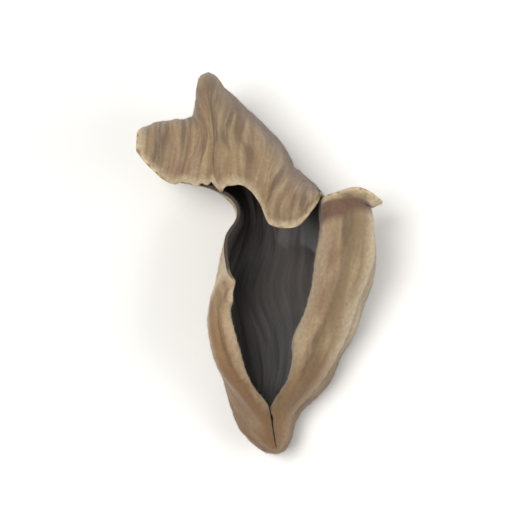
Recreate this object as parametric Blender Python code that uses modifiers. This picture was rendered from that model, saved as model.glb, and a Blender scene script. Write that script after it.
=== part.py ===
"""One dried wood ear mushroom, lying on its back with its mouth up.

The fruit body is a single leathery sheet. It grows from a small stub, widens like a fan
and has curled up while drying. Both side margins roll inwards over the dark inner face.
The far margin folds back over the mouth in a hood, which slants up to a peak and has a short
wing beside it. The right lobe ends in a flared lip. The stub is towards -Y and the mouth
opens towards +Z.

Lengths in the tables and formulas are millimetres along the sheet, and angles are degrees.
"across" runs from the sheet's left edge (-1) over its midline (0) to its right edge (1), and
"along" is the distance from the stub. The mesh itself is in metres.
"""

import bpy
import numpy as np
from mathutils import Vector, noise

MM = 0.001

# Driving dimensions.
FINISHED_LENGTH = 36.0  # of the curled piece along Y
SHEET_THICKNESS = 0.65
THICKEST = 0.8  # at the stub
THICKNESS = [(0, 0.42), (1.3, THICKEST), (2.6, 0.78), (4, SHEET_THICKNESS), (9, SHEET_THICKNESS)]
REST_FLAT_DEPTH = 0.5  # the lowest bulges dried flat against the tray

# Grid of the open sheet: columns across it, rows from the stub to the far margin.
COLUMNS = 60
ROWS = 38
# Where each evenly counted column lies: they crowd in the rolls and at the fold's steep side.
COLUMN_PLACES = [(-1, -1), (-0.72, -0.8), (-0.56, -0.58), (-0.36, -0.42), (-0.2, -0.26), (0.06, 0.06),
                 (0.2, 0.16), (0.42, 0.28), (0.55, 0.43), (0.7, 0.66), (1, 1)]

# Half-width of the sheet on each side of its midline, at distances from the stub.
LEFT_WIDTH = [(0, 0.45), (1.5, 1.9), (3, 4.4), (4.6, 7.1), (6.5, 9.4), (8.7, 11.2), (11.5, 13),
              (14.5, 13.4), (16.5, 12.8), (19, 11.6), (22, 10.8), (26, 9.2), (28.4, 9.9), (30.4, 12.2),
              (32, 13.8), (38, 14.6)]
RIGHT_WIDTH = [(0, 0.45), (1.5, 1.9), (3, 4.4), (4.6, 7.2), (6.5, 9.8), (8.7, 12.2), (11.5, 14.4),
               (14.5, 17), (18, 19.6), (21, 21.4), (24, 22), (32, 22)]
# How steeply each side wall stands up from the floor of the trough.
LEFT_WALL = [(0, 129), (1.2, 129), (2, 127), (3, 118), (4.4, 101), (12, 92), (17, 92), (20, 90),
             (23, 89), (25, 90), (27, 82), (29, 60), (31, 34), (33, 18), (38, 12)]
RIGHT_WALL = [(0, 113), (1.2, 113), (2, 112), (3, 104), (4.4, 97), (14, 94), (22, 90), (32, 84)]
# How far each margin rolls over beyond its wall.
LEFT_ROLL = [(0, 50), (1.2, 50), (2.4, 50), (3.8, 92), (6, 182), (10, 222), (13, 222), (15, 184),
             (17, 105), (19, 42), (21, 16), (25, 2), (38, 0)]
RIGHT_ROLL = [(0, 60), (1.2, 60), (2.4, 60), (3.8, 125), (5.8, 216), (12, 234), (18, 238), (21, 242),
              (24, 262), (32, 280)]
# Shares of the half-width where the wall starts to rise, stands and starts to roll.
LEFT_WALL_FOOT = 0.20
RIGHT_WALL_FOOT = 0.10
WALL_TOP = 0.60
LEFT_ROLL_START = 0.78
RIGHT_ROLL_START = 0.62
# Slope of the trough's floor, from the raised stub to the far end.
FLOOR_SLOPE = [(0, -34), (5, -20), (10, -4), (16, 0), (24, 6), (36, 12)]

# The far margin's distance from the stub, from the left edge to the right edge.
FAR_EDGE = [(-1, 44.2), (-0.94, 45.2), (-0.85, 45.8), (-0.72, 46.4), (-0.6, 47.6), (-0.56, 49.2),
            (-0.52, 52.4), (-0.48, 56.2), (-0.45, 57.6), (-0.42, 56.2), (-0.39, 54.4), (-0.36, 52.9),
            (-0.3, 50.8), (-0.22, 48.2), (-0.15, 46.2), (-0.09, 45), (-0.04, 43.8), (0.06, 41),
            (0.12, 38.6), (0.155, 36.2), (0.19, 33.8), (0.22, 31.6), (0.26, 28.8), (0.3, 26.6),
            (0.34, 25), (0.38, 24.6), (0.44, 26.4), (0.5, 28.4), (0.56, 29.3), (0.61, 29.2),
            (0.66, 28.8), (0.72, 28.2), (0.78, 27.4), (0.86, 26.4), (0.93, 25.6), (1, 24.6)]
# Where the sheet starts to fold along its length, how far it turns and over what length.
FOLD_START = [(-1, 32.9), (-0.8, 33), (-0.68, 33), (-0.6, 33.2), (-0.56, 33.7), (-0.5, 36),
              (-0.46, 37.4), (-0.41, 35.8), (-0.34, 34), (-0.28, 32.8), (-0.2, 30.9), (-0.12, 28.6),
              (0, 25.8), (0.1, 24), (0.2, 22.8), (0.3, 23), (0.36, 23.6), (0.42, 24.6), (0.5, 26),
              (0.58, 26.5), (0.66, 26), (0.78, 25.2), (0.86, 24.6), (1, 23.6)]
FOLD_ANGLE = [(-1, 160), (-0.8, 184), (-0.5, 186), (-0.3, 184), (0.2, 176), (0.34, 172), (0.42, -10),
              (0.5, -46), (0.58, -66), (0.66, -66), (0.76, -56), (0.86, -30), (1, 0)]
FOLD_LENGTH = [(-1, 9), (-0.8, 9.6), (-0.58, 10.2), (-0.43, 11.4), (-0.3, 12), (-0.15, 12.8), (0, 13.5),
               (0.2, 13.5), (0.34, 13.5), (0.42, 4), (0.5, 2.6), (1, 2.6)]
# How much the folding sheet turns straight up instead of square to the sheet.
FOLD_UPRIGHT = [(-1, 0.6), (-0.6, 0.8), (-0.35, 0.85), (0, 0.85), (0.14, 1), (0.24, 1), (0.34, 1),
                (0.42, 0), (1, 0)]

# Creases along the sheet. They begin beyond the stub and are shallower in the rolls.
PATTERN_HALF_WIDTH = 16.0  # of the flat sheet that creases and ruffles are laid out on
CREASE_DEPTH = 0.28
CREASE_SOFTNESS = 0.35  # of the crests
CREASE_PITCH = (2.6, 12.0, 1.0)  # across and along the sheet
CREASE_BEGIN, CREASE_WHOLE = 3.0, 12.0
CALM_BEGIN, CALM_WHOLE, CALM_SHARE = 0.55, 0.80, 0.7
CREASE_SEED = 2
# Ruffles near the margins. The rolled left margin has them only near its far end.
RUFFLE_DEPTH = 0.3
RUFFLE_PITCH = 4.6
RUFFLE_REACH = 0.2  # of the way in from a margin
RUFFLE_BEGIN, RUFFLE_WHOLE = 24.0, 18.0
RUFFLE_SEED = 3
# Warps of the whole piece. Near its floor they move it little up or down.
WARPS = ((11.0, 1.5, 5), (5.0, 0.45, 15))  # pitch, depth and seed of each
FLOOR_HEIGHT = -3.0  # of the trough's floor, from the stub's tip
FLOOR_CALM = 0.15  # share of the upward warp left at the floor
FLOOR_CALM_REACH = 5.0

INTEGRATION_STEPS = 40
NOISE_GAIN = 1.5
SEED_SHIFT = Vector((17.3, 5.1, 9.7))

FELT_COLOUR = (0.30, 0.22, 0.14, 1.0)
FELT_ROUGHNESS = 0.85


def smooth_step(share):
    share = np.clip(share, 0.0, 1.0)
    return share * share * (3.0 - 2.0 * share)


def through(stations, at):
    """Smooth curve through (place, value) stations, level beyond its ends."""
    places, values = np.array(stations, float).T
    slopes = np.gradient(values, places)
    at = np.clip(at, places[0], places[-1])
    span = np.clip(np.searchsorted(places, at, side="right") - 1, 0, len(places) - 2)
    width = places[span + 1] - places[span]
    t = (at - places[span]) / width
    rise = values[span + 1] - values[span]
    return (values[span] + rise * (3.0 - 2.0 * t) * t * t
            + width * t * (1.0 - t) * (slopes[span] * (1.0 - t) - slopes[span + 1] * t))


def on_side(right, left_value, right_value):
    return np.where(right, right_value, left_value)


def steps_to(ends):
    """Evenly spaced places from 0 to each end, on a new last axis."""
    steps = (np.arange(INTEGRATION_STEPS) + 0.5) / INTEGRATION_STEPS
    return ends[..., None] * steps


def unit(vectors):
    return vectors / np.maximum(np.linalg.norm(vectors, axis=-1, keepdims=True), 1e-9)


def trough_point(across, along):
    """Place on the rolled trough, before its far margin folds."""
    right = across > 0
    share = np.abs(across)
    width = on_side(right, through(LEFT_WIDTH, along), through(RIGHT_WIDTH, along))
    wall = np.radians(on_side(right, through(LEFT_WALL, along), through(RIGHT_WALL, along)))
    roll = np.radians(on_side(right, through(LEFT_ROLL, along), through(RIGHT_ROLL, along)))
    wall_foot = on_side(right, LEFT_WALL_FOOT, RIGHT_WALL_FOOT)[..., None]
    roll_start = on_side(right, LEFT_ROLL_START, RIGHT_ROLL_START)[..., None]

    # The sheet turns up to its wall and then over into its roll, summed in small steps.
    places = steps_to(share)
    risen = smooth_step((places - wall_foot) / (WALL_TOP - wall_foot))
    rolled = np.clip((places - roll_start) / (1 - roll_start), 0, 1)
    turned = wall[..., None] * risen + roll[..., None] * rolled
    sideways = share * width * np.cos(turned).mean(-1)
    inwards = share * width * np.sin(turned).mean(-1)

    slope = np.radians(through(FLOOR_SLOPE, steps_to(along)))
    here = np.radians(through(FLOOR_SLOPE, along))
    x = np.where(right, sideways, -sideways)
    y = along * np.cos(slope).mean(-1) - inwards * np.sin(here)
    z = along * np.sin(slope).mean(-1) + inwards * np.cos(here)
    return np.stack([x, y, z], -1)


def folded_point(across, along):
    """Place on the sheet with its far margin folded over, rolled or flared."""
    start = np.minimum(through(FOLD_START, across), along)
    hinge = trough_point(across, start)
    slope = np.radians(through(FLOOR_SLOPE, start))
    ahead = np.stack([np.zeros_like(slope), np.cos(slope), np.sin(slope)], -1)
    nudge = 0.01
    sideways = trough_point(across + nudge, start) - trough_point(across - nudge, start)
    upright = through(FOLD_UPRIGHT, across)[..., None]
    square = unit(np.cross(sideways, ahead))
    mouthwards = unit(square * (1 - upright) + np.array([0, 0, 1.0]) * upright)

    run = along - start
    angle = np.radians(through(FOLD_ANGLE, across))[..., None]
    length = through(FOLD_LENGTH, across)[..., None]
    turned = angle * np.clip(steps_to(run) / length, 0, 1)
    forward = (run * np.cos(turned).mean(-1))[..., None]
    upward = (run * np.sin(turned).mean(-1))[..., None]
    return hinge + forward * ahead + upward * mouthwards


def sheet_normals(points):
    return unit(np.cross(np.gradient(points, axis=1), np.gradient(points, axis=0)))


def bumps(places, pitch, seed):
    """Soft noise between about -1 and 1 at each place, its bumps about pitch apart."""
    scaled = (places / pitch).reshape(-1, 3)
    values = [noise.noise(Vector(place) + seed * SEED_SHIFT) for place in scaled]
    return np.array(values).reshape(places.shape[:-1]) * NOISE_GAIN


def crease_height(across, along, flat):
    waves = bumps(flat, np.array(CREASE_PITCH), CREASE_SEED)
    ridges = 1.0 - 2.0 * np.sqrt(waves**2 + CREASE_SOFTNESS**2)
    begun = smooth_step((along - CREASE_BEGIN) / (CREASE_WHOLE - CREASE_BEGIN))
    calmed = smooth_step((np.abs(across) - CALM_BEGIN) / (CALM_WHOLE - CALM_BEGIN))
    return CREASE_DEPTH * ridges * begun * (1.0 - CALM_SHARE * calmed)


def ruffle_height(across, row, along, flat):
    near_stub = smooth_step((RUFFLE_BEGIN - along) / (RUFFLE_BEGIN - RUFFLE_WHOLE))
    from_side = np.where(across < 0, 1.0 + across, 1.0) + near_stub
    from_margin = np.minimum(from_side, 1.0 - row)
    waves = bumps(flat, RUFFLE_PITCH, RUFFLE_SEED)
    return RUFFLE_DEPTH * waves * smooth_step(1.0 - from_margin / RUFFLE_REACH)


def dried_sheet(across, row):
    """Points of the dried sheet, where row is 0 at the stub and 1 at the far margin."""
    along = row * through(FAR_EDGE, across)
    flat = np.stack([across * PATTERN_HALF_WIDTH, along, np.zeros_like(along)], -1)
    height = crease_height(across, along, flat) + ruffle_height(across, row, along, flat)
    points = folded_point(across, along)
    points = points + sheet_normals(points) * height[..., None]

    above_floor = (points[..., 2] - FLOOR_HEIGHT) / FLOOR_CALM_REACH
    lift = FLOOR_CALM + (1.0 - FLOOR_CALM) * smooth_step(above_floor)
    for pitch, depth, seed in WARPS:
        shift = np.stack([bumps(points, pitch, seed + axis) for axis in range(3)], -1)
        shift[..., 2] *= lift
        points = points + depth * shift
    return points


def settle(body):
    """Centre the piece over the origin and press its lowest bulges flat against the tray."""
    corners = np.array([vertex.co for vertex in body.data.vertices])
    low, high = corners.min(0), corners.max(0)
    corners -= [(low[0] + high[0]) / 2, (low[1] + high[1]) / 2, low[2] + REST_FLAT_DEPTH * MM]
    inner, outer = np.split(corners, 2)  # the sheet's dark skin, and its felt right below it
    pressed = np.maximum(-outer[:, 2], 0.0)
    inner[:, 2] += pressed
    outer[:, 2] += pressed
    body.data.vertices.foreach_set("co", corners.ravel())
    body.data.update()


def felt_material():
    material = bpy.data.materials.new("dried_felt")
    material.use_nodes = True
    shader = material.node_tree.nodes["Principled BSDF"]
    shader.inputs["Base Color"].default_value = FELT_COLOUR
    shader.inputs["Roughness"].default_value = FELT_ROUGHNESS
    shader.inputs["Metallic"].default_value = 0.0
    return material


def fruit_body():
    bpy.ops.mesh.primitive_grid_add(x_subdivisions=COLUMNS, y_subdivisions=ROWS, size=2)
    body = bpy.context.object
    body.name = "fruit_body"
    places = np.array([vertex.co for vertex in body.data.vertices])
    across, row = through(COLUMN_PLACES, places[:, 0]), (places[:, 1] + 1.0) / 2.0
    grid = (ROWS + 1, COLUMNS + 1)
    points = dried_sheet(across.reshape(grid), row.reshape(grid)).reshape(-1, 3)
    points *= (FINISHED_LENGTH - THICKEST) / np.ptp(points[:, 1])
    body.data.vertices.foreach_set("co", (points * MM).ravel())

    thickness = through(THICKNESS, row * through(FAR_EDGE, across))
    group = body.vertex_groups.new(name="thickness")
    for index, share in enumerate(thickness / THICKEST):
        group.add([index], float(share), "REPLACE")
    wall = body.modifiers.new("Wall", "SOLIDIFY")
    wall.thickness = THICKEST * MM
    wall.vertex_group = group.name
    wall.offset = -1.0
    bpy.ops.object.modifier_apply(modifier=wall.name)
    settle(body)
    body.data.shade_smooth()
    body.data.materials.append(felt_material())
    return body


def build():
    for old in list(bpy.data.objects):
        bpy.data.objects.remove(old)
    collection = bpy.data.collections.new("wood_ear_mushroom")
    bpy.context.scene.collection.children.link(collection)
    body = fruit_body()
    for holder in list(body.users_collection):
        holder.objects.unlink(body)
    collection.objects.link(body)


build()
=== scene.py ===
"""A dried wood ear mushroom lying on its back with its mouth up, dressed for a soft studio view."""

import math

import bpy
import numpy as np
from mathutils import Matrix, Vector, noise


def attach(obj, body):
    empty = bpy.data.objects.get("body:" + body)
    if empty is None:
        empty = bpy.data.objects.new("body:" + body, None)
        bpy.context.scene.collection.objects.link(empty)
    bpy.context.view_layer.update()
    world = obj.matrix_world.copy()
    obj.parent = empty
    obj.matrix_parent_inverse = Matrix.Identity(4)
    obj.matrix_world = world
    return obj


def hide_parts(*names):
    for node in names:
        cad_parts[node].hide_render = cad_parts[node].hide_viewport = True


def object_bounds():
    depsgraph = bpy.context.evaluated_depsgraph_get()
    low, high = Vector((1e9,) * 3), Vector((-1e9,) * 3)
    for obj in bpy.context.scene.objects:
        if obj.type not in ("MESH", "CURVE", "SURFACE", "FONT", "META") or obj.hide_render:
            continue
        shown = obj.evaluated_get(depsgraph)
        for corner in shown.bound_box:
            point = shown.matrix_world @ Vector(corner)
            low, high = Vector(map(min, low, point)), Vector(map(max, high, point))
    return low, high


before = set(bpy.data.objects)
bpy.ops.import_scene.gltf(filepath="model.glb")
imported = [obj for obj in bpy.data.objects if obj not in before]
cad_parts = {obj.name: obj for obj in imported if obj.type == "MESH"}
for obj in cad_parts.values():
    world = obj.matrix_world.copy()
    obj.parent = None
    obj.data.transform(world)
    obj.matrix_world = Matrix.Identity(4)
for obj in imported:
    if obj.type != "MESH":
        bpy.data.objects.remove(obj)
cad_low, cad_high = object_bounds()


# ---- Fruit body ----------------------------------------------------------------------------------
# The real piece is one leathery sheet, nearly black and smooth inside and felted outside, that has
# curled up while drying. It is a flat grid that is bent into the curled shape and then given its
# thickness outwards.

# Lengths are in mm and angles in degrees. "across" runs from the sheet's left edge (-1) to its right
# edge (1), and "along" is the distance from the stub.
MM = 0.001
FINISHED_LENGTH = 36.0  # of the curled piece along Y
SHEET_THICKNESS = 0.65
THICKEST = 0.8  # at the stub
THICKNESS = [(0, 0.42), (1.3, THICKEST), (2.6, 0.78), (4, SHEET_THICKNESS), (9, SHEET_THICKNESS)]
REST_FLAT_DEPTH = 0.5  # the lowest bulges dried flat against the tray

# Grid of the open sheet: columns across it, rows from the stub to the far margin.
COLUMNS = 204
ROWS = 204
# Where each evenly counted column lies: they crowd in the rolls and at the fold's steep side.
COLUMN_PLACES = [(-1, -1), (-0.72, -0.8), (-0.56, -0.58), (-0.36, -0.42), (-0.2, -0.26), (0.06, 0.06),
                 (0.2, 0.16), (0.42, 0.28), (0.55, 0.43), (0.7, 0.66), (1, 1)]

# Half-width of the sheet on each side of its midline, at distances from the stub.
LEFT_WIDTH = [(0, 0.45), (1.5, 1.9), (3, 4.4), (4.6, 7.1), (6.5, 9.4), (8.7, 11.2), (11.5, 13),
              (14.5, 13.4), (16.5, 12.8), (19, 11.6), (22, 10.8), (26, 9.2), (28.4, 9.9), (30.4, 12.2),
              (32, 13.8), (38, 14.6)]
RIGHT_WIDTH = [(0, 0.45), (1.5, 1.9), (3, 4.4), (4.6, 7.2), (6.5, 9.8), (8.7, 12.2), (11.5, 14.4),
               (14.5, 17), (18, 19.6), (21, 21.4), (24, 22), (32, 22)]
# How steeply each side wall stands up from the floor of the trough.
LEFT_WALL = [(0, 129), (1.2, 129), (2, 127), (3, 118), (4.4, 101), (12, 92), (17, 92), (20, 90),
             (23, 89), (25, 90), (27, 82), (29, 60), (31, 34), (33, 18), (38, 12)]
RIGHT_WALL = [(0, 113), (1.2, 113), (2, 112), (3, 104), (4.4, 97), (14, 94), (22, 90), (32, 84)]
# How far each margin rolls over beyond its wall.
LEFT_ROLL = [(0, 50), (1.2, 50), (2.4, 50), (3.8, 92), (6, 182), (10, 222), (13, 222), (15, 184),
             (17, 105), (19, 42), (21, 16), (25, 2), (38, 0)]
RIGHT_ROLL = [(0, 60), (1.2, 60), (2.4, 60), (3.8, 125), (5.8, 216), (12, 234), (18, 238), (21, 242),
              (24, 262), (32, 280)]
# Shares of the half-width where the wall starts to rise, stands and starts to roll.
LEFT_WALL_FOOT = 0.20
RIGHT_WALL_FOOT = 0.10
WALL_TOP = 0.60
LEFT_ROLL_START = 0.78
RIGHT_ROLL_START = 0.62
# Slope of the trough's floor, from the raised stub to the far end.
FLOOR_SLOPE = [(0, -34), (5, -20), (10, -4), (16, 0), (24, 6), (36, 12)]

# The far margin's distance from the stub, from the left edge to the right edge.
FAR_EDGE = [(-1, 44.2), (-0.94, 45.2), (-0.85, 45.8), (-0.72, 46.4), (-0.6, 47.6), (-0.56, 49.2),
            (-0.52, 52.4), (-0.48, 56.2), (-0.45, 57.6), (-0.42, 56.2), (-0.39, 54.4), (-0.36, 52.9),
            (-0.3, 50.8), (-0.22, 48.2), (-0.15, 46.2), (-0.09, 45), (-0.04, 43.8), (0.06, 41),
            (0.12, 38.6), (0.155, 36.2), (0.19, 33.8), (0.22, 31.6), (0.26, 28.8), (0.3, 26.6),
            (0.34, 25), (0.38, 24.6), (0.44, 26.4), (0.5, 28.4), (0.56, 29.3), (0.61, 29.2),
            (0.66, 28.8), (0.72, 28.2), (0.78, 27.4), (0.86, 26.4), (0.93, 25.6), (1, 24.6)]
# Where the sheet starts to fold along its length, how far it turns and over what length.
FOLD_START = [(-1, 32.9), (-0.8, 33), (-0.68, 33), (-0.6, 33.2), (-0.56, 33.7), (-0.5, 36),
              (-0.46, 37.4), (-0.41, 35.8), (-0.34, 34), (-0.28, 32.8), (-0.2, 30.9), (-0.12, 28.6),
              (0, 25.8), (0.1, 24), (0.2, 22.8), (0.3, 23), (0.36, 23.6), (0.42, 24.6), (0.5, 26),
              (0.58, 26.5), (0.66, 26), (0.78, 25.2), (0.86, 24.6), (1, 23.6)]
FOLD_ANGLE = [(-1, 160), (-0.8, 184), (-0.5, 186), (-0.3, 184), (0.2, 176), (0.34, 172), (0.42, -10),
              (0.5, -46), (0.58, -66), (0.66, -66), (0.76, -56), (0.86, -30), (1, 0)]
FOLD_LENGTH = [(-1, 9), (-0.8, 9.6), (-0.58, 10.2), (-0.43, 11.4), (-0.3, 12), (-0.15, 12.8), (0, 13.5),
               (0.2, 13.5), (0.34, 13.5), (0.42, 4), (0.5, 2.6), (1, 2.6)]
# How much the folding sheet turns straight up instead of square to the sheet.
FOLD_UPRIGHT = [(-1, 0.6), (-0.6, 0.8), (-0.35, 0.85), (0, 0.85), (0.14, 1), (0.24, 1), (0.34, 1),
                (0.42, 0), (1, 0)]

# Creases along the sheet. They begin beyond the stub and are shallower in the rolls.
PATTERN_HALF_WIDTH = 16.0  # of the flat sheet that creases and ruffles are laid out on
CREASE_DEPTH = 0.28
CREASE_SOFTNESS = 0.35  # of the crests
CREASE_PITCH = (2.6, 12.0, 1.0)  # across and along the sheet
CREASE_BEGIN, CREASE_WHOLE = 3.0, 12.0
CALM_BEGIN, CALM_WHOLE, CALM_SHARE = 0.55, 0.80, 0.7
CREASE_SEED = 2
# Ruffles near the margins. The rolled left margin has them only near its far end.
RUFFLE_DEPTH = 0.3
RUFFLE_PITCH = 4.6
RUFFLE_REACH = 0.2  # of the way in from a margin
RUFFLE_BEGIN, RUFFLE_WHOLE = 24.0, 18.0
RUFFLE_SEED = 3
# Warps of the whole piece. Near its floor they move it little up or down.
WARPS = ((11.0, 1.5, 5), (5.0, 0.45, 15))  # pitch, depth and seed of each
FLOOR_HEIGHT = -3.0  # of the trough's floor, from the stub's tip
FLOOR_CALM = 0.15  # share of the upward warp left at the floor
FLOOR_CALM_REACH = 5.0

INTEGRATION_STEPS = 40  # in which a bend is summed up
NOISE_GAIN = 1.5  # brings the noise to between about -1 and 1
SEED_SHIFT = Vector((17.3, 5.1, 9.7))  # how far each seed moves into the noise

# The rolled margins dried as flattened tubes: a shallow groove runs along the top of each, between
# two crests. Each is given by how far the sheet has turned there, its width in turn, and its height.
BAND_RELIEF = ((180, 26, -0.34), (122, 20, 0.14), (236, 20, 0.16))
BAND_BEGIN, BAND_WHOLE = 5.0, 9.0
BAND_END = 3.0  # how far into the fold they fade

# Fine relief that only shows close up: wrinkles of the skin, and ribs and tufts of the felt.
WRINKLE_DEPTH = 0.035
WRINKLE_PITCH = (0.9, 7.0, 1.0)
WRINKLE_SEED = 4
RIB_DEPTH = 0.085
RIB_PITCH = (1.1, 6.5, 1.0)
RIB_SEED = 8
TUFT_DEPTH = 0.05
TUFT_PITCH = 0.55
TUFT_SEED = 21
RELIEF_SOFTNESS = 0.15
MARGIN_SHARE = 0.55  # of the sheet's thickness that is left at its margin
MARGIN_TAPER = 1.6  # how far in from the margin the sheet thins
MARGIN_CALM = 0.8  # how far in from the margin the fine relief is whole
STUB_CALM_BEGIN, STUB_CALM_REACH = 1.0, 3.0  # and how far from the stub
RIM_CUTS = 3  # along the rim, whose strips bulge into a round edge
RIM_BULGE = 0.14  # at the middle cut
STUB_END = -13.0  # y up to which the crowded columns of the stub are merged
STUB_MERGE = 0.05  # how close corners have to be for that
STUB_SEAM = (-15.0, -11.0)  # y where the two margins meet at the stub, and where they have parted
# How far each margin is drawn towards the other there, by y, and how far into the sheet.
SEAM_DRAW = [(-16.2, 0), (-15.8, 0.045), (-15.4, 0.075), (-15, 0.105), (-14.6, 0.07),
             (-14.2, 0.09), (-13.8, 0.13), (-13.2, 0)]
SEAM_REACH = 1.5
# Material slots, in the order in which the wall's modifier gives them out.
SKIN, FELT, RIM = 0, 1, 2
# Where the two skins stop facing apart, the outer one is eased: how alike their normals have to be,
# how many places round that are eased with it, and how often.
EASING_LIMIT = 0.2
EASING_REACH = 3
EASING_STEPS = 80


def smooth_step(share):
    share = np.clip(share, 0.0, 1.0)
    return share * share * (3.0 - 2.0 * share)


def through(stations, at):
    """Smooth curve through (place, value) stations, level beyond its ends."""
    places, values = np.array(stations, float).T
    slopes = np.gradient(values, places)
    at = np.clip(at, places[0], places[-1])
    span = np.clip(np.searchsorted(places, at, side="right") - 1, 0, len(places) - 2)
    width = places[span + 1] - places[span]
    t = (at - places[span]) / width
    rise = values[span + 1] - values[span]
    return (values[span] + rise * (3.0 - 2.0 * t) * t * t
            + width * t * (1.0 - t) * (slopes[span] * (1.0 - t) - slopes[span + 1] * t))


def on_side(right, left_value, right_value):
    return np.where(right, right_value, left_value)


def steps_to(ends):
    """Evenly spaced places from 0 to each end, on a new last axis."""
    steps = (np.arange(INTEGRATION_STEPS) + 0.5) / INTEGRATION_STEPS
    return ends[..., None] * steps


def unit(vectors):
    return vectors / np.maximum(np.linalg.norm(vectors, axis=-1, keepdims=True), 1e-9)


def trough_point(across, along):
    """Place on the rolled trough, before its far margin folds."""
    right = across > 0
    share = np.abs(across)
    width = on_side(right, through(LEFT_WIDTH, along), through(RIGHT_WIDTH, along))
    wall = np.radians(on_side(right, through(LEFT_WALL, along), through(RIGHT_WALL, along)))
    roll = np.radians(on_side(right, through(LEFT_ROLL, along), through(RIGHT_ROLL, along)))
    wall_foot = on_side(right, LEFT_WALL_FOOT, RIGHT_WALL_FOOT)[..., None]
    roll_start = on_side(right, LEFT_ROLL_START, RIGHT_ROLL_START)[..., None]

    # The sheet turns up to its wall and then over into its roll, summed in small steps.
    places = steps_to(share)
    risen = smooth_step((places - wall_foot) / (WALL_TOP - wall_foot))
    rolled = np.clip((places - roll_start) / (1 - roll_start), 0, 1)
    turned = wall[..., None] * risen + roll[..., None] * rolled
    sideways = share * width * np.cos(turned).mean(-1)
    inwards = share * width * np.sin(turned).mean(-1)

    slope = np.radians(through(FLOOR_SLOPE, steps_to(along)))
    here = np.radians(through(FLOOR_SLOPE, along))
    x = np.where(right, sideways, -sideways)
    y = along * np.cos(slope).mean(-1) - inwards * np.sin(here)
    z = along * np.sin(slope).mean(-1) + inwards * np.cos(here)
    return np.stack([x, y, z], -1)


def folded_point(across, along):
    """Place on the sheet with its far margin folded over, rolled or flared."""
    start = np.minimum(through(FOLD_START, across), along)
    hinge = trough_point(across, start)
    slope = np.radians(through(FLOOR_SLOPE, start))
    ahead = np.stack([np.zeros_like(slope), np.cos(slope), np.sin(slope)], -1)
    nudge = 0.01
    sideways = trough_point(across + nudge, start) - trough_point(across - nudge, start)
    upright = through(FOLD_UPRIGHT, across)[..., None]
    square = unit(np.cross(sideways, ahead))
    mouthwards = unit(square * (1 - upright) + np.array([0, 0, 1.0]) * upright)

    run = along - start
    angle = np.radians(through(FOLD_ANGLE, across))[..., None]
    length = through(FOLD_LENGTH, across)[..., None]
    turned = angle * np.clip(steps_to(run) / length, 0, 1)
    forward = (run * np.cos(turned).mean(-1))[..., None]
    upward = (run * np.sin(turned).mean(-1))[..., None]
    return hinge + forward * ahead + upward * mouthwards


def sheet_normals(points):
    return unit(np.cross(np.gradient(points, axis=1), np.gradient(points, axis=0)))


def bumps(places, pitch, seed):
    """Soft noise between about -1 and 1 at each place, its bumps about pitch apart."""
    scaled = (places / pitch).reshape(-1, 3)
    values = [noise.noise(Vector(place) + seed * SEED_SHIFT) for place in scaled]
    return np.array(values).reshape(places.shape[:-1]) * NOISE_GAIN


def crease_height(across, along, flat):
    waves = bumps(flat, np.array(CREASE_PITCH), CREASE_SEED)
    ridges = 1.0 - 2.0 * np.sqrt(waves**2 + CREASE_SOFTNESS**2)
    begun = smooth_step((along - CREASE_BEGIN) / (CREASE_WHOLE - CREASE_BEGIN))
    calmed = smooth_step((np.abs(across) - CALM_BEGIN) / (CALM_WHOLE - CALM_BEGIN))
    return CREASE_DEPTH * ridges * begun * (1.0 - CALM_SHARE * calmed)


def ruffle_height(across, row, along, flat):
    near_stub = smooth_step((RUFFLE_BEGIN - along) / (RUFFLE_BEGIN - RUFFLE_WHOLE))
    from_side = np.where(across < 0, 1.0 + across, 1.0) + near_stub
    from_margin = np.minimum(from_side, 1.0 - row)
    waves = bumps(flat, RUFFLE_PITCH, RUFFLE_SEED)
    return RUFFLE_DEPTH * waves * smooth_step(1.0 - from_margin / RUFFLE_REACH)


def turned_by(across, along):
    """How far the sheet has turned up and over at each place."""
    right = across > 0
    share = np.abs(across)
    wall = on_side(right, through(LEFT_WALL, along), through(RIGHT_WALL, along))
    roll = on_side(right, through(LEFT_ROLL, along), through(RIGHT_ROLL, along))
    wall_foot = on_side(right, LEFT_WALL_FOOT, RIGHT_WALL_FOOT)
    roll_start = on_side(right, LEFT_ROLL_START, RIGHT_ROLL_START)
    risen = smooth_step((share - wall_foot) / (WALL_TOP - wall_foot))
    rolled = np.clip((share - roll_start) / (1 - roll_start), 0, 1)
    return wall * risen + roll * rolled


def band_height(across, along):
    begun = smooth_step((along - BAND_BEGIN) / (BAND_WHOLE - BAND_BEGIN))
    folding = smooth_step((along - through(FOLD_START, across)) / BAND_END)
    turned = turned_by(across, along)
    height = sum(rise * np.exp(-((turned - place) / width) ** 2)
                 for place, width, rise in BAND_RELIEF)
    return -height * begun * (1.0 - folding)


def widened(mask, reach):
    """The mask with reach more places on each side."""
    wide = np.pad(mask, reach)
    for axis in (0, 1):
        wide = np.any([np.roll(wide, shift, axis) for shift in range(-reach, reach + 1)], axis=0)
    return wide[reach:-reach, reach:-reach]


def neighbours_mean(points):
    """Mean of the four places round each, or of the two along the edge where there are no more."""
    mean = points.copy()
    mean[1:-1, 1:-1] = (points[:-2, 1:-1] + points[2:, 1:-1]
                        + points[1:-1, :-2] + points[1:-1, 2:]) / 4
    for edge in (0, -1):
        mean[edge, 1:-1] = (points[edge, :-2] + points[edge, 2:]) / 2
        mean[1:-1, edge] = (points[:-2, edge] + points[2:, edge]) / 2
    return mean


def ease(outer, inner):
    """Smooths the outer skin where the sheet bends so sharply that it would fold through itself."""
    for _ in range(EASING_STEPS):
        folded = (sheet_normals(inner) * sheet_normals(outer)).sum(-1) < EASING_LIMIT
        if not folded.any():
            break
        near = widened(folded, EASING_REACH)
        outer[near] = neighbours_mean(outer)[near]


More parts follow.
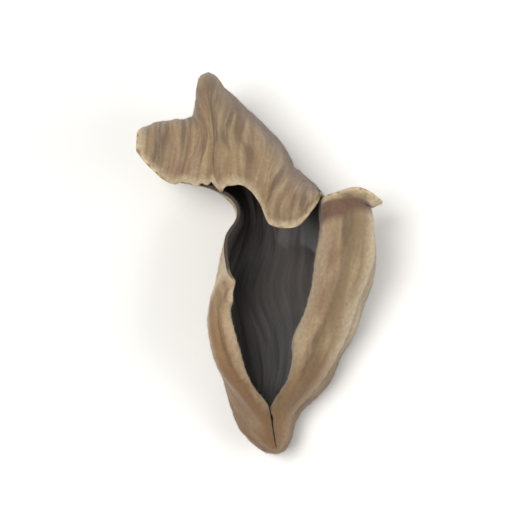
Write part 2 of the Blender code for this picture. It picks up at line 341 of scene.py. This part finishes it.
def soft_ridges(places, pitch, seed):
    """Soft-crested noise between about -1 and 1."""
    return 1.0 - 2.0 * np.sqrt(bumps(places, pitch, seed) ** 2 + RELIEF_SOFTNESS**2)


bpy.ops.object.select_all(action="DESELECT")
bpy.ops.mesh.primitive_grid_add(x_subdivisions=COLUMNS, y_subdivisions=ROWS, size=2)
fruit_body = bpy.context.object
fruit_body.name = "dried_fruit_body"
places = np.array([vertex.co for vertex in fruit_body.data.vertices])
grid = (ROWS + 1, COLUMNS + 1)
across = through(COLUMN_PLACES, places[:, 0]).reshape(grid)
row = ((places[:, 1] + 1.0) / 2.0).reshape(grid)
along = row * through(FAR_EDGE, across)
flat = np.stack([across * PATTERN_HALF_WIDTH, along, np.zeros_like(along)], -1)

# The open sheet is bent over its creases, ruffles and folds, and the whole piece is warped.
crease = crease_height(across, along, flat)
height = crease + ruffle_height(across, row, along, flat) + band_height(across, along)
points = folded_point(across, along)
points = points + sheet_normals(points) * height[..., None]
above_floor = (points[..., 2] - FLOOR_HEIGHT) / FLOOR_CALM_REACH
lift = FLOOR_CALM + (1.0 - FLOOR_CALM) * smooth_step(above_floor)
for pitch, depth, seed in WARPS:
    shift = np.stack([bumps(points, pitch, seed + axis) for axis in range(3)], -1)
    shift[..., 2] *= lift
    points = points + depth * shift
points *= (FINISHED_LENGTH - THICKEST) / np.ptp(points[..., 1])
fruit_body.data.vertices.foreach_set("co", (points * MM).ravel())

# What the materials need to know of each place: how far it is from the margin in mm, how far the
# sheet has turned into its rolls and into its fold, and where its ribs are.
width = on_side(across > 0, through(LEFT_WIDTH, along), through(RIGHT_WIDTH, along))
margin = np.minimum((1.0 - np.abs(across)) * width, through(FAR_EDGE, across) - along)
rib = soft_ridges(flat, np.array(RIB_PITCH), RIB_SEED)
fold_run = np.clip((along - through(FOLD_START, across)) / through(FOLD_LENGTH, across), 0, 1)
folded = through(FOLD_ANGLE, across) * fold_run
rolled = turned_by(across, along)
for name, values in (("margin_mm", margin), ("turned", rolled), ("folded", folded), ("rib", rib)):
    layer = fruit_body.data.attributes.new(name, "FLOAT", "POINT")
    layer.data.foreach_set("value", values.ravel().astype(np.float32))
corner_vertices = np.empty(len(fruit_body.data.loops), np.int32)
fruit_body.data.loops.foreach_get("vertex_index", corner_vertices)
fruit_body.data.uv_layers[0].name = "sheet_mm"
laid_flat = flat.reshape(-1, 3)[corner_vertices, :2]
fruit_body.data.uv_layers[0].data.foreach_set("uv", laid_flat.astype(np.float32).ravel())

# The wall: it thins towards the margin, and its outer side and rim get materials of their own.
taper = MARGIN_SHARE + (1.0 - MARGIN_SHARE) * smooth_step(margin / MARGIN_TAPER)
thickness = through(THICKNESS, along) * taper
group = fruit_body.vertex_groups.new(name="thickness")
for index, share in enumerate((thickness / THICKEST).ravel()):
    group.add([index], float(share), "REPLACE")
wall = fruit_body.modifiers.new("Wall", "SOLIDIFY")
wall.thickness = THICKEST * MM
wall.vertex_group = group.name
wall.offset = -1.0
wall.material_offset = FELT
wall.material_offset_rim = RIM
for slot in (SKIN, FELT, RIM):
    fruit_body.data.materials.append(None)  # filled below, once each material is made
bpy.ops.object.modifier_apply(modifier=wall.name)

corners = np.array([vertex.co for vertex in fruit_body.data.vertices]) / MM
inner, outer = corners.reshape(2, *grid, 3)
ease(outer, inner)

# The lowest bulges dried flat against the tray, both skins together.
low, high = corners.min(0), corners.max(0)
corners -= [(low[0] + high[0]) / 2, (low[1] + high[1]) / 2, low[2] + REST_FLAT_DEPTH]
pressed = np.maximum(-outer[..., 2], 0.0)
inner[..., 2] += pressed
outer[..., 2] += pressed

# Fine relief moves each skin along its own normal, and leaves the margin and the underside calm.
calm = smooth_step(margin / MARGIN_CALM) * smooth_step((along - STUB_CALM_BEGIN) / STUB_CALM_REACH)
wrinkles = WRINKLE_DEPTH * soft_ridges(flat, np.array(WRINKLE_PITCH), WRINKLE_SEED)
tufts = TUFT_DEPTH * bumps(outer, TUFT_PITCH, TUFT_SEED)
above, below = sheet_normals(inner), sheet_normals(outer)
inner += above * (wrinkles * calm)[..., None]
outer -= below * ((RIB_DEPTH * rib + tufts) * calm * smooth_step(outer[..., 2]))[..., None]
ease(outer, inner)

# The two margins dried against each other at the stub, and the stub's own end dried shut.
inner[0] = inner[0].mean(0)
near_margin = smooth_step(1.0 - margin / SEAM_REACH)
for side in (inner, outer):
    side[..., 0] -= np.sign(across) * near_margin * through(SEAM_DRAW, side[..., 1])
fruit_body.data.vertices.foreach_set("co", (corners * MM).ravel())
fruit_body.data.update()

# Which skin each place is on, and which way the felt is combed there.
skin_side = fruit_body.data.attributes.new("skin", "FLOAT", "POINT")
skin_side.data.foreach_set("value", np.repeat([0.0, 1.0], across.size).astype(np.float32))
combed = unit(np.gradient(outer, axis=0)) * calm[..., None]
comb = fruit_body.data.attributes.new("comb", "FLOAT_VECTOR", "POINT")
comb.data.foreach_set("vector", np.tile(combed.reshape(-1, 3), (2, 1)).astype(np.float32).ravel())

# The columns of the grid crowd together at the stub, so they are merged there.
bpy.ops.object.mode_set(mode="EDIT")
bpy.ops.mesh.select_all(action="DESELECT")
bpy.ops.object.mode_set(mode="OBJECT")
for vertex in fruit_body.data.vertices:
    vertex.select = vertex.co.y < STUB_END * MM
bpy.context.scene.tool_settings.mesh_select_mode = (True, False, False)
bpy.ops.object.mode_set(mode="EDIT")
bpy.ops.mesh.remove_doubles(threshold=STUB_MERGE * MM)
bpy.ops.mesh.select_all(action="DESELECT")
bpy.ops.object.mode_set(mode="OBJECT")

# The rim is cut into strips that bulge into a round edge.
touching = {}
for face in fruit_body.data.polygons:
    for key in face.edge_keys:
        touching.setdefault(key, []).append(face.material_index)
for line in fruit_body.data.edges:
    line.select = touching[line.key] == [RIM, RIM]
bpy.context.scene.tool_settings.mesh_select_mode = (False, True, False)
uncut = len(fruit_body.data.vertices)
bpy.ops.object.mode_set(mode="EDIT")
bpy.ops.mesh.subdivide(number_cuts=RIM_CUTS)
bpy.ops.mesh.select_all(action="DESELECT")
bpy.ops.object.mode_set(mode="OBJECT")
depth = np.array([item.value for item in fruit_body.data.attributes["skin"].data])
corners = np.array([vertex.co for vertex in fruit_body.data.vertices])
normals = np.array([vertex.normal for vertex in fruit_body.data.vertices])
parted = smooth_step((corners[:, 1] / MM - STUB_SEAM[0]) / (STUB_SEAM[1] - STUB_SEAM[0]))
bulge = RIM_BULGE * np.sin(np.pi * depth) * parted
corners[uncut:] += (normals * bulge[:, None] * MM)[uncut:]
fruit_body.data.vertices.foreach_set("co", corners.ravel())
fruit_body.data.update()
fruit_body.data.shade_smooth()


def linear(hex_colour):
    """An sRGB hex colour as a linear RGBA value."""
    channels = [int(hex_colour[at:at + 2], 16) / 255 for at in (1, 3, 5)]
    return (*[c / 12.92 if c <= 0.04045 else ((c + 0.055) / 1.055) ** 2.4 for c in channels], 1.0)


def add(tree, kind, settings, sockets):
    """Adds a node to the tree, with its settings, and sets or links each input named."""
    made = tree.nodes.new(kind)
    for name, value in settings.items():
        setattr(made, name, value)
    for name, value in sockets.items():
        if isinstance(value, bpy.types.NodeSocket):
            tree.links.new(value, made.inputs[name])
        else:
            made.inputs[name].default_value = value
    return made


# The colour sockets of a Mix node, which share their names with others.
MIX_A, MIX_B, MIXED = 6, 7, 2


def tint(tree, colour, shade, most, *ranges):
    """Lays a shade over the colour, in a share up to most, where every value is in its range.

    A range is a value, where the shade starts to show and where it is whole.
    """
    share = most
    for value, start, whole in ranges:
        sockets = {"Value": value, "From Min": start, "From Max": whole}
        ramp = add(tree, "ShaderNodeMapRange", {}, sockets).outputs["Result"]
        sockets = {0: share, 1: ramp}
        share = add(tree, "ShaderNodeMath", {"operation": "MULTIPLY"}, sockets).outputs[0]
    sockets = {0: share, MIX_A: colour, MIX_B: linear(shade)}
    return add(tree, "ShaderNodeMix", {"data_type": "RGBA"}, sockets).outputs[MIXED]


def sheet_noise(tree, pitch, detail=2.0, shift=0.0):
    """Noise laid on the open sheet, its spots about pitch mm across and along it."""
    place = add(tree, "ShaderNodeAttribute", {"attribute_name": "sheet_mm"}, {}).outputs["Vector"]
    scale = (1.0 / pitch[0], 1.0 / pitch[1], 1.0)
    sockets = {"Vector": place, "Scale": scale, "Location": (shift, shift, 0)}
    laid = add(tree, "ShaderNodeMapping", {}, sockets).outputs["Vector"]
    sockets = {"Vector": laid, "Scale": 1.0, "Detail": detail}
    return add(tree, "ShaderNodeTexNoise", {}, sockets).outputs["Fac"]


def sheet_places(tree):
    """Place on the open sheet in mm: across it from its midline, and along it from the stub."""
    place = add(tree, "ShaderNodeAttribute", {"attribute_name": "sheet_mm"}, {}).outputs["Vector"]
    return add(tree, "ShaderNodeSeparateXYZ", {}, {"Vector": place}).outputs[:2]


def grain_noise(tree, pitch, detail):
    """Noise that fills space, its spots about pitch mm wide."""
    place = add(tree, "ShaderNodeTexCoord", {}, {}).outputs["Object"]
    sockets = {"Vector": place, "Scale": 1.0 / (pitch * MM), "Detail": detail}
    return add(tree, "ShaderNodeTexNoise", {}, sockets).outputs["Fac"]


def new_material(name):
    material = bpy.data.materials.new(name)
    material.use_nodes = True
    return material, material.node_tree, material.node_tree.nodes["Principled BSDF"].inputs


def join(tree, colour, height, strength, depth):
    """Links a colour and a bump of depth mm to the material's shader."""
    shader = tree.nodes["Principled BSDF"].inputs
    tree.links.new(colour, shader["Base Color"])
    sockets = {"Height": height, "Strength": strength, "Distance": depth * MM}
    bump = add(tree, "ShaderNodeBump", {}, sockets)
    tree.links.new(bump.outputs["Normal"], shader["Normal"])


# Felt: short matted hair on the outer side, which scatters light without any gloss. It is tan near
# the margins, paler along worn edges, reddish in places, and grey-brown on the back. Painted
# highlight, partly wear, lies along the crests of the rolls, and painted shade lies in their grooves,
# in the hollows between the ribs, along the turn of the hood and under the flared lip.
felt, tree, shader = new_material("dried_felt")
from_midline, from_stub = sheet_places(tree)
from_margin, turned, over_fold, ribs = [
    add(tree, "ShaderNodeAttribute", {"attribute_name": name}, {}).outputs["Fac"]
    for name in ("margin_mm", "turned", "folded", "rib")]
patches = sheet_noise(tree, (4.0, 6.0), 3.0)
sockets = {0: patches, 1: 9.0, 2: from_margin}
back = add(tree, "ShaderNodeMath", {"operation": "MULTIPLY_ADD"}, sockets).outputs[0]
colour = tint(tree, linear("#856f52"), "#685e4d", 1.0, (back, 8.0, 16.0))
# Russet patches, painted shade in the hollows between the ribs, and pale streaks of hair.
russet = sheet_noise(tree, (2.6, 5.0), 3.0, 9.3)
colour = tint(tree, colour, "#785a4b", 0.6, (russet, 0.5, 0.66))
# Painted shade: the felt is darkened in the hollows between the ribs.
colour = tint(tree, colour, "#564536", 0.7, (ribs, 0.25, -0.7))
streaks = sheet_noise(tree, (0.45, 4.0), 3.0, 7.7)
colour = tint(tree, colour, "#a59274", 0.5, (streaks, 0.46, 0.66))
# The left margin browns towards the stub.
colour = tint(tree, colour, "#7a5535", 0.7, (from_midline, -4.0, -7.0), (from_stub, 16.0, 11.0))
# Painted shade in the groove along the top of each roll, and pale crests on either side of it that
# are partly wear and partly painted highlight: how far the sheet has turned there, the band's reach
# in turn, its share and its colour. It fades between two shares of its reach.
ROLL_SHADE_AND_HIGHLIGHT = ((172, 28, 0.62, "#5f5038"), (238, 24, 0.65, "#bba98a"), (108, 24, 0.75, "#c4b395"))
BAND_FADE = (1.6, 0.5)
# Each band lays painted shade in the groove or a painted highlight, partly wear, on a crest.
for place, reach, most, shade in ROLL_SHADE_AND_HIGHLIGHT:
    sockets = {0: turned, 1: place}
    aside = add(tree, "ShaderNodeMath", {"operation": "SUBTRACT"}, sockets).outputs[0]
    away = add(tree, "ShaderNodeMath", {"operation": "ABSOLUTE"}, {0: aside}).outputs[0]
    sockets = {0: patches, 1: reach, 2: away}
    ragged = add(tree, "ShaderNodeMath", {"operation": "MULTIPLY_ADD"}, sockets).outputs[0]
    colour = tint(tree, colour, shade, most, (ragged, BAND_FADE[0] * reach, BAND_FADE[1] * reach))
# The brown stub, and the worn margin, pale in ragged spots.
colour = tint(tree, colour, "#62472d", 0.75, (from_stub, 12.0, 4.5))
sockets = {0: sheet_noise(tree, (0.6, 0.6), 3.0, 2.9), 1: 0.9, 2: from_margin}
worn = add(tree, "ShaderNodeMath", {"operation": "MULTIPLY_ADD"}, sockets).outputs[0]
colour = tint(tree, colour, "#b5a486", 0.7, (worn, 1.25, 0.6), (from_stub, 3.5, 7.0))
# Painted shade in reddish brown along the turn of the hood, where it turns away from the light, and
# painted shadow in the hollow under the flared lip.
colour = tint(tree, colour, "#62493d", 0.85,
              (over_fold, 45.0, 80.0), (over_fold, 156.0, 132.0), (from_midline, -7.5, -5.5))
# Painted shadow: the felt in the hollow under the flared lip is darkened.
colour = tint(tree, colour, "#5f4637", 1.0,
              (from_margin, 0.8, 1.2), (from_margin, 3.6, 2.8), (from_midline, 6.0, 7.5),
              (from_stub, 22.0, 23.5))
colour = tint(tree, colour, "#6d5a42", 0.3, (grain_noise(tree, 0.35, 3.0), 0.35, 0.65))
shader["Roughness"].default_value = 0.95
shader["Specular IOR Level"].default_value = 0.2
shader["Sheen Weight"].default_value = 0.2
shader["Sheen Roughness"].default_value = 0.6
join(tree, colour, grain_noise(tree, 0.2, 4.0), 0.8, 0.08)

# Hymenium: the smooth skin inside, nearly black when dry, with a dull gloss and fine striations.
# It is cloudy, and brown in the stub.
skin, tree, shader = new_material("dried_hymenium")
from_stub = sheet_places(tree)[1]
striae = sheet_noise(tree, (0.5, 12.0), 3.0, 5.0)
colour = tint(tree, linear("#2a2726"), "#38332f", 1.0, (striae, 0.45, 0.7))
cloud = sheet_noise(tree, (5.0, 8.0), 2.0, 2.2)
colour = tint(tree, colour, "#463a33", 0.4, (cloud, 0.4, 0.7))
colour = tint(tree, colour, "#6b5845", 1.0, (from_stub, 4.0, 1.5))
shader["Roughness"].default_value = 0.6
join(tree, colour, sheet_noise(tree, (0.3, 1.6), 4.0, 8.1), 0.5, 0.06)

# Margin: the torn, fibrous edge of the sheet, pale where the felt meets the skin. Along the left
# wall, under the wing, it is darkened with painted shadow, and it is brown at the stub.
edge, tree, shader = new_material("dried_margin")
from_midline, from_stub = sheet_places(tree)
frayed = grain_noise(tree, 0.6, 3.0)
colour = tint(tree, linear("#b8a688"), "#84694a", 1.0, (frayed, 0.4, 0.65))
# Painted shadow: the rim on the left wall, under the wing, is darkened.
colour = tint(tree, colour, "#3f342b", 1.0,
              (from_midline, -15.0, -15.6), (from_stub, 17.5, 20.0), (from_stub, 33.0, 30.5))
colour = tint(tree, colour, "#75604a", 1.0, (from_stub, 6.0, 3.5))
shader["Roughness"].default_value = 0.9
join(tree, colour, grain_noise(tree, 0.2, 4.0), 0.7, 0.06)

for slot, material in ((SKIN, skin), (FELT, felt), (RIM, edge)):
    fruit_body.data.materials[slot] = material
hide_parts("fruit_body")
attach(fruit_body, "root")


# ---- Nap -----------------------------------------------------------------------------------------
# The loose hairs of the felt, which grow out of its outer side and lean towards the margin. Each is
# a slender cone, and geometry nodes scatter them over the felt.

HAIR_LENGTH = 0.3
HAIR_WIDTH = 0.018  # about three times a real hair's, so that it shows
HAIR_SUNK = 0.05  # share of its length that is rooted in the felt
HAIR_SCALE = (0.5, 1.0)  # of the shortest and longest hairs
HAIR_SPREAD = 0.7  # how far a hair strays from the sheet's normal, which is 1 long
HAIR_LEAN = 1.7  # and how far it leans the way the felt is combed
HAIRS_PER_MM2 = 46.0
HAIR_SEED = 6
LOWEST_HAIR = 0.5  # above the tray

bpy.ops.object.select_all(action="DESELECT")
bpy.ops.mesh.primitive_cone_add(vertices=3, radius1=HAIR_WIDTH / 2 * MM, depth=HAIR_LENGTH * MM)
hair = bpy.context.object
hair.name = "felt_hair"
hair.data.transform(Matrix.Translation((0, 0, (0.5 - HAIR_SUNK) * HAIR_LENGTH * MM)))

nap = bpy.data.objects.new("felt_nap", fruit_body.data.copy())
bpy.context.scene.collection.objects.link(nap)
bpy.ops.object.select_all(action="DESELECT")
nap.select_set(True)
bpy.context.view_layer.objects.active = nap
scatter = bpy.data.node_groups.new("scatter_hairs", "GeometryNodeTree")
scatter.interface.new_socket("Geometry", in_out="INPUT", socket_type="NodeSocketGeometry")
scatter.interface.new_socket("Geometry", in_out="OUTPUT", socket_type="NodeSocketGeometry")

# Hairs root on the felt, clear of the tray. Sockets that share a name are reached by number: 0 and
# 1 are a comparison's two numbers or a random vector's limits, and 2 and 3 are a comparison's two
# whole numbers or a random number's limits.
sheet = add(scatter, "NodeGroupInput", {}, {}).outputs[0]
material_slot = add(scatter, "GeometryNodeInputMaterialIndex", {}, {}).outputs[0]
settings = {"data_type": "INT", "operation": "EQUAL"}
is_felt = add(scatter, "FunctionNodeCompare", settings, {2: material_slot, 3: FELT}).outputs[0]
place = add(scatter, "GeometryNodeInputPosition", {}, {}).outputs[0]
height = add(scatter, "ShaderNodeSeparateXYZ", {}, {0: place}).outputs["Z"]
settings = {"operation": "GREATER_THAN"}
sockets = {0: height, 1: LOWEST_HAIR * MM}
is_clear = add(scatter, "FunctionNodeCompare", settings, sockets).outputs[0]
sockets = {0: is_felt, 1: is_clear}
is_hairy = add(scatter, "FunctionNodeBooleanMath", {"operation": "AND"}, sockets).outputs[0]
sockets = {"Mesh": sheet, "Selection": is_hairy, "Seed": HAIR_SEED,
           "Density": HAIRS_PER_MM2 / MM**2}
roots = add(scatter, "GeometryNodeDistributePointsOnFaces", {}, sockets).outputs

# Each points out of the sheet, astray by chance, and leans the way the felt is combed.
sockets = {0: (-HAIR_SPREAD,) * 3, 1: (HAIR_SPREAD,) * 3}
settings = {"data_type": "FLOAT_VECTOR"}
astray = add(scatter, "FunctionNodeRandomValue", settings, sockets).outputs[0]
comb = add(scatter, "GeometryNodeInputNamedAttribute", settings, {"Name": "comb"}).outputs[0]
sockets = {0: comb, "Scale": HAIR_LEAN}
leaning = add(scatter, "ShaderNodeVectorMath", {"operation": "SCALE"}, sockets).outputs[0]
settings = {"operation": "ADD"}
upright = add(scatter, "ShaderNodeVectorMath", settings, {0: roots["Normal"], 1: astray}).outputs[0]
pointing = add(scatter, "ShaderNodeVectorMath", settings, {0: upright, 1: leaning}).outputs[0]
settings = {"axis": "Z"}
turn = add(scatter, "FunctionNodeAlignRotationToVector", settings, {"Vector": pointing}).outputs[0]
sockets = {2: HAIR_SCALE[0], 3: HAIR_SCALE[1], "Seed": 1}
size = add(scatter, "FunctionNodeRandomValue", {"data_type": "FLOAT"}, sockets).outputs[1]
cone = add(scatter, "GeometryNodeObjectInfo", {}, {"Object": hair}).outputs["Geometry"]
sockets = {"Points": roots["Points"], "Instance": cone, "Rotation": turn, "Scale": size}
hairs = add(scatter, "GeometryNodeInstanceOnPoints", {}, sockets).outputs[0]
real = add(scatter, "GeometryNodeRealizeInstances", {}, {0: hairs}).outputs[0]
add(scatter, "NodeGroupOutput", {}, {0: real})
growth = nap.modifiers.new("Hairs", "NODES")
growth.node_group = scatter
bpy.ops.object.modifier_apply(modifier=growth.name)
bpy.data.objects.remove(hair)
nap.data.materials.clear()
nap.data.materials.append(felt)
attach(nap, "root")


# ---- Floor, light and camera ---------------------------------------------------------------------
# A plain pale studio table under three soft lights: the strongest high on the left, a low one on
# the right and a faint one behind. The camera looks steeply down into the mouth.

FLOOR_SIZE = 3.0  # in metres
FLOOR_GAP = 0.02 * MM
bpy.ops.object.select_all(action="DESELECT")
bpy.ops.mesh.primitive_plane_add(size=FLOOR_SIZE, location=(0, 0, -FLOOR_GAP))
floor = bpy.context.object
floor.name = "floor"
# Matt pale paper, which takes a soft shadow and gives back no gloss.
paper, tree, shader = new_material("pale_paper")
shader["Base Color"].default_value = linear("#dcdad6")
shader["Roughness"].default_value = 0.9
floor.data.materials.append(paper)

centre = (cad_low + cad_high) / 2
LIGHTS = (  # place from the piece's centre and side length in metres, and power in watts
    ((-0.12, -0.06, 0.28), 0.18, 1.1),
    ((0.24, -0.06, 0.14), 0.20, 0.55),
    ((0.02, 0.26, 0.10), 0.16, 0.25),
)
for number, (place, side, power) in enumerate(LIGHTS):
    bpy.ops.object.light_add(type="AREA", location=centre + Vector(place))
    light = bpy.context.object
    light.name = f"soft_light_{number}"
    light.data.size = side
    light.data.energy = power
    light.rotation_euler = Vector(place).to_track_quat("Z", "Y").to_euler()
world = bpy.data.worlds.new("studio")
world.use_nodes = True
background = world.node_tree.nodes["Background"].inputs
background["Color"].default_value = linear("#f2f3f5")
background["Strength"].default_value = 0.36
bpy.context.scene.world = world
bpy.context.scene.view_settings.view_transform = "Standard"

CAMERA_ELEVATION = math.radians(72)
CAMERA_LENS = 150.0
FRAME_HEIGHT = 49.0 * MM  # what the picture spans at the piece
to_camera = Vector((0, -math.cos(CAMERA_ELEVATION), math.sin(CAMERA_ELEVATION)))
bpy.ops.object.camera_add()
camera = bpy.context.object
camera.data.lens = CAMERA_LENS
camera.data.clip_start = 0.01
camera.location = centre + to_camera * FRAME_HEIGHT * CAMERA_LENS / camera.data.sensor_width
camera.rotation_euler = to_camera.to_track_quat("Z", "Y").to_euler()
bpy.context.scene.camera = camera
